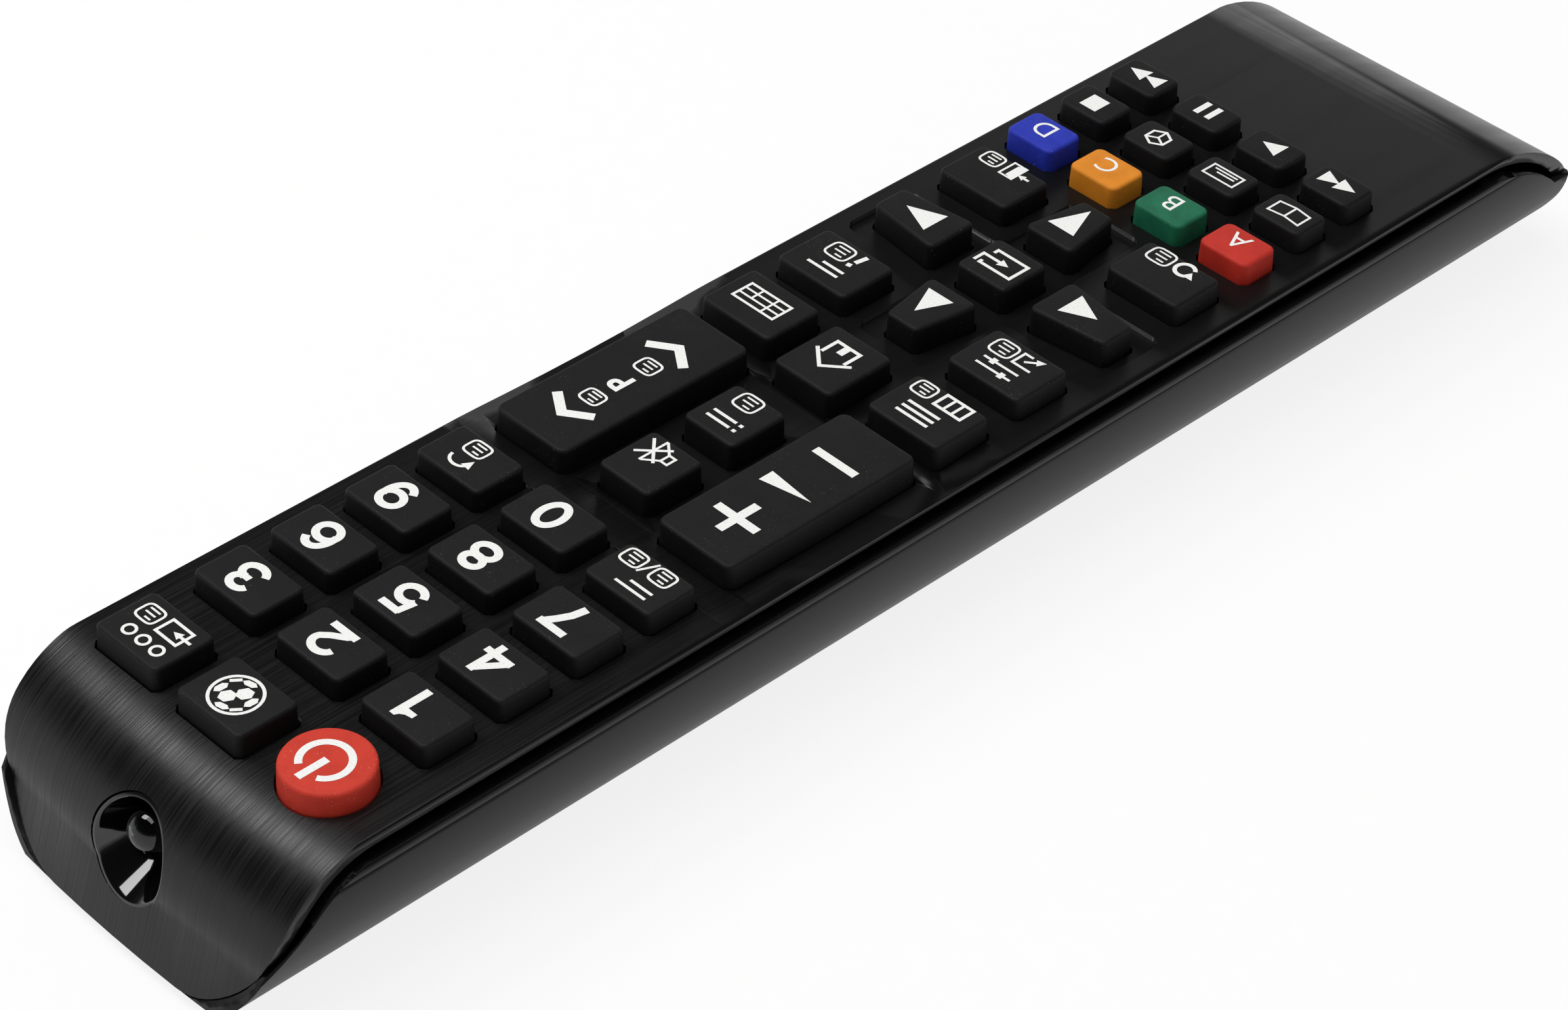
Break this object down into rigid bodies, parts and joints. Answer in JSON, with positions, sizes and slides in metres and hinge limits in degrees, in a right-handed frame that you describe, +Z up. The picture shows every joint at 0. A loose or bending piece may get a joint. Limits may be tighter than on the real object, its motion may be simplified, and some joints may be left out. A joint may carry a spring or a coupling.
{
  "type": "tv remote control",
  "caption": "Handheld television remote control: slim two-shell case with bent-down nose, rubber keys, two rockers, a direction cross, an infrared window and a sliding battery cover.",
  "frame": {"origin": "middle of the footprint, on the surface that the remote lies on", "axes": "+Z up with the keys facing up, +Y towards the infrared end, +X to the right when the keys are read"},
  "size_m": [0.0446, 0.2009, 0.0226],
  "materials": {
    "upper_shell": "satin moulding with a fine brushed grain along its length",
    "lower_shell": "satin moulding",
    "key_rubber": "matt silicone with printed signs",
    "power_rubber": "matt silicone with a printed sign",
    "red_rubber": "matt silicone",
    "green_rubber": "matt silicone",
    "orange_rubber": "matt silicone",
    "blue_rubber": "matt silicone",
    "sheet_rubber": "moulded silicone",
    "board": "green solder mask",
    "chip": "moulded package",
    "ceramic": "dipped",
    "capacitor_can": "drawn can",
    "lamp_resin": "clear cast resin",
    "window_gloss": "polished",
    "cell_label": "printed sleeve",
    "spring_steel": "nickel plated"
  },
  "bodies": {
    "housing": {"battery_left": "cell_label", "battery_right": "cell_label", "bottom_case": "lower_shell", "capacitor": "capacitor_can", "circuit_board": "board", "contact_bridge": "spring_steel", "contact_minus": "spring_steel", "contact_plus": "spring_steel", "control_chip": "chip", "ir_led": "lamp_resin", "ir_window": "window_gloss", "keypad_mat": "sheet_rubber", "resonator": "ceramic", "top_case": "upper_shell"},
    "cover": {"battery_cover": "lower_shell"},
    "key_0_body": {"key_0": "key_rubber"},
    "key_1_body": {"key_1": "key_rubber"},
    "key_2_body": {"key_2": "key_rubber"},
    "key_3_body": {"key_3": "key_rubber"},
    "key_4_body": {"key_4": "key_rubber"},
    "key_5_body": {"key_5": "key_rubber"},
    "key_6_body": {"key_6": "key_rubber"},
    "key_7_body": {"key_7": "key_rubber"},
    "key_8_body": {"key_8": "key_rubber"},
    "key_9_body": {"key_9": "key_rubber"},
    "key_blue_body": {"key_blue": "blue_rubber"},
    "key_channel_body": {"key_channel": "key_rubber"},
    "key_down_body": {"key_down": "key_rubber"},
    "key_enter_body": {"key_enter": "key_rubber"},
    "key_exit_body": {"key_exit": "key_rubber"},
    "key_forward_body": {"key_forward": "key_rubber"},
    "key_green_body": {"key_green": "green_rubber"},
    "key_guide_body": {"key_guide": "key_rubber"},
    "key_home_body": {"key_home": "key_rubber"},
    "key_info_body": {"key_info": "key_rubber"},
    "key_left_body": {"key_left": "key_rubber"},
    "key_list_body": {"key_list": "key_rubber"},
    "key_manual_body": {"key_manual": "key_rubber"},
    "key_menu_body": {"key_menu": "key_rubber"},
    "key_mute_body": {"key_mute": "key_rubber"},
    "key_pause_body": {"key_pause": "key_rubber"},
    "key_picture_body": {"key_picture": "key_rubber"},
    "key_play_body": {"key_play": "key_rubber"},
    "key_power_body": {"key_power": "power_rubber"},
    "key_previous_body": {"key_previous": "key_rubber"},
    "key_red_body": {"key_red": "red_rubber"},
    "key_return_body": {"key_return": "key_rubber"},
    "key_rewind_body": {"key_rewind": "key_rubber"},
    "key_right_body": {"key_right": "key_rubber"},
    "key_source_body": {"key_source": "key_rubber"},
    "key_sport_body": {"key_sport": "key_rubber"},
    "key_stop_body": {"key_stop": "key_rubber"},
    "key_subtitle_body": {"key_subtitle": "key_rubber"},
    "key_text_body": {"key_text": "key_rubber"},
    "key_tools_body": {"key_tools": "key_rubber"},
    "key_up_body": {"key_up": "key_rubber"},
    "key_volume_body": {"key_volume": "key_rubber"},
    "key_yellow_body": {"key_yellow": "orange_rubber"}
  },
  "joints": [
    {"name": "key_0_press", "type": "slide", "parent": "housing", "child": "key_0_body", "axis": [0, 0, -1], "range_m": [0, 0.0007], "stiffness_N_per_m": 800},
    {"name": "key_1_press", "type": "slide", "parent": "housing", "child": "key_1_body", "axis": [0, 0, -1], "range_m": [0, 0.0007], "stiffness_N_per_m": 800},
    {"name": "key_2_press", "type": "slide", "parent": "housing", "child": "key_2_body", "axis": [0, 0, -1], "range_m": [0, 0.0007], "stiffness_N_per_m": 800},
    {"name": "key_3_press", "type": "slide", "parent": "housing", "child": "key_3_body", "axis": [0, 0, -1], "range_m": [0, 0.0007], "stiffness_N_per_m": 800},
    {"name": "key_4_press", "type": "slide", "parent": "housing", "child": "key_4_body", "axis": [0, 0, -1], "range_m": [0, 0.0007], "stiffness_N_per_m": 800},
    {"name": "key_5_press", "type": "slide", "parent": "housing", "child": "key_5_body", "axis": [0, 0, -1], "range_m": [0, 0.0007], "stiffness_N_per_m": 800},
    {"name": "key_6_press", "type": "slide", "parent": "housing", "child": "key_6_body", "axis": [0, 0, -1], "range_m": [0, 0.0007], "stiffness_N_per_m": 800},
    {"name": "key_7_press", "type": "slide", "parent": "housing", "child": "key_7_body", "axis": [0, 0, -1], "range_m": [0, 0.0007], "stiffness_N_per_m": 800},
    {"name": "key_8_press", "type": "slide", "parent": "housing", "child": "key_8_body", "axis": [0, 0, -1], "range_m": [0, 0.0007], "stiffness_N_per_m": 800},
    {"name": "key_9_press", "type": "slide", "parent": "housing", "child": "key_9_body", "axis": [0, 0, -1], "range_m": [0, 0.0007], "stiffness_N_per_m": 800},
    {"name": "key_blue_press", "type": "slide", "parent": "housing", "child": "key_blue_body", "axis": [0, 0, -1], "range_m": [0, 0.0007], "stiffness_N_per_m": 800},
    {"name": "key_channel_rock", "type": "hinge", "parent": "housing", "child": "key_channel_body", "pos_m": [0.0126, 0.02217, 0.01585], "axis": [1, 0, 0], "range_deg": [-2.5, 2.5], "stiffness_Nm_per_rad": 0.08},
    {"name": "key_down_press", "type": "slide", "parent": "housing", "child": "key_down_body", "axis": [0, 0, -1], "range_m": [0, 0.0007], "stiffness_N_per_m": 800},
    {"name": "key_enter_press", "type": "slide", "parent": "housing", "child": "key_enter_body", "axis": [0, 0, -1], "range_m": [0, 0.0007], "stiffness_N_per_m": 800},
    {"name": "key_exit_press", "type": "slide", "parent": "housing", "child": "key_exit_body", "axis": [0, 0, -1], "range_m": [0, 0.0007], "stiffness_N_per_m": 800},
    {"name": "key_forward_press", "type": "slide", "parent": "housing", "child": "key_forward_body", "axis": [0, 0, -1], "range_m": [0, 0.0007], "stiffness_N_per_m": 800},
    {"name": "key_green_press", "type": "slide", "parent": "housing", "child": "key_green_body", "axis": [0, 0, -1], "range_m": [0, 0.0007], "stiffness_N_per_m": 800},
    {"name": "key_guide_press", "type": "slide", "parent": "housing", "child": "key_guide_body", "axis": [0, 0, -1], "range_m": [0, 0.0007], "stiffness_N_per_m": 800},
    {"name": "key_home_press", "type": "slide", "parent": "housing", "child": "key_home_body", "axis": [0, 0, -1], "range_m": [0, 0.0007], "stiffness_N_per_m": 800},
    {"name": "key_info_press", "type": "slide", "parent": "housing", "child": "key_info_body", "axis": [0, 0, -1], "range_m": [0, 0.0007], "stiffness_N_per_m": 800},
    {"name": "key_left_press", "type": "slide", "parent": "housing", "child": "key_left_body", "axis": [0, 0, -1], "range_m": [0, 0.0007], "stiffness_N_per_m": 800},
    {"name": "key_list_press", "type": "slide", "parent": "housing", "child": "key_list_body", "axis": [0, 0, -1], "range_m": [0, 0.0007], "stiffness_N_per_m": 800},
    {"name": "key_manual_press", "type": "slide", "parent": "housing", "child": "key_manual_body", "axis": [0, 0, -1], "range_m": [0, 0.0007], "stiffness_N_per_m": 800},
    {"name": "key_menu_press", "type": "slide", "parent": "housing", "child": "key_menu_body", "axis": [0, 0, -1], "range_m": [0, 0.0007], "stiffness_N_per_m": 800},
    {"name": "key_mute_press", "type": "slide", "parent": "housing", "child": "key_mute_body", "axis": [0, 0, -1], "range_m": [0, 0.0007], "stiffness_N_per_m": 800},
    {"name": "key_pause_press", "type": "slide", "parent": "housing", "child": "key_pause_body", "axis": [0, 0, -1], "range_m": [0, 0.0007], "stiffness_N_per_m": 800},
    {"name": "key_picture_press", "type": "slide", "parent": "housing", "child": "key_picture_body", "axis": [0, 0, -1], "range_m": [0, 0.0007], "stiffness_N_per_m": 800},
    {"name": "key_play_press", "type": "slide", "parent": "housing", "child": "key_play_body", "axis": [0, 0, -1], "range_m": [0, 0.0007], "stiffness_N_per_m": 800},
    {"name": "key_power_press", "type": "slide", "parent": "housing", "child": "key_power_body", "axis": [0, 0, -1], "range_m": [0, 0.0007], "stiffness_N_per_m": 800},
    {"name": "key_previous_press", "type": "slide", "parent": "housing", "child": "key_previous_body", "axis": [0, 0, -1], "range_m": [0, 0.0007], "stiffness_N_per_m": 800},
    {"name": "key_red_press", "type": "slide", "parent": "housing", "child": "key_red_body", "axis": [0, 0, -1], "range_m": [0, 0.0007], "stiffness_N_per_m": 800},
    {"name": "key_return_press", "type": "slide", "parent": "housing", "child": "key_return_body", "axis": [0, 0, -1], "range_m": [0, 0.0007], "stiffness_N_per_m": 800},
    {"name": "key_rewind_press", "type": "slide", "parent": "housing", "child": "key_rewind_body", "axis": [0, 0, -1], "range_m": [0, 0.0007], "stiffness_N_per_m": 800},
    {"name": "key_right_press", "type": "slide", "parent": "housing", "child": "key_right_body", "axis": [0, 0, -1], "range_m": [0, 0.0007], "stiffness_N_per_m": 800},
    {"name": "key_source_press", "type": "slide", "parent": "housing", "child": "key_source_body", "axis": [0, 0, -1], "range_m": [0, 0.0007], "stiffness_N_per_m": 800},
    {"name": "key_sport_press", "type": "slide", "parent": "housing", "child": "key_sport_body", "axis": [0, 0, -1], "range_m": [0, 0.0007], "stiffness_N_per_m": 800},
    {"name": "key_stop_press", "type": "slide", "parent": "housing", "child": "key_stop_body", "axis": [0, 0, -1], "range_m": [0, 0.0007], "stiffness_N_per_m": 800},
    {"name": "key_subtitle_press", "type": "slide", "parent": "housing", "child": "key_subtitle_body", "axis": [0, 0, -1], "range_m": [0, 0.0007], "stiffness_N_per_m": 800},
    {"name": "key_text_press", "type": "slide", "parent": "housing", "child": "key_text_body", "axis": [0, 0, -1], "range_m": [0, 0.0007], "stiffness_N_per_m": 800},
    {"name": "key_tools_press", "type": "slide", "parent": "housing", "child": "key_tools_body", "axis": [0, 0, -1], "range_m": [0, 0.0007], "stiffness_N_per_m": 800},
    {"name": "key_up_press", "type": "slide", "parent": "housing", "child": "key_up_body", "axis": [0, 0, -1], "range_m": [0, 0.0007], "stiffness_N_per_m": 800},
    {"name": "key_volume_rock", "type": "hinge", "parent": "housing", "child": "key_volume_body", "pos_m": [-0.0126, 0.02217, 0.01585], "axis": [1, 0, 0], "range_deg": [-2.5, 2.5], "stiffness_Nm_per_rad": 0.08},
    {"name": "key_yellow_press", "type": "slide", "parent": "housing", "child": "key_yellow_body", "axis": [0, 0, -1], "range_m": [0, 0.0007], "stiffness_N_per_m": 800},
    {"name": "cover_slide", "type": "slide", "parent": "housing", "child": "cover", "axis": [0, -1, 0], "range_m": [0, 0.06]}
  ]
}
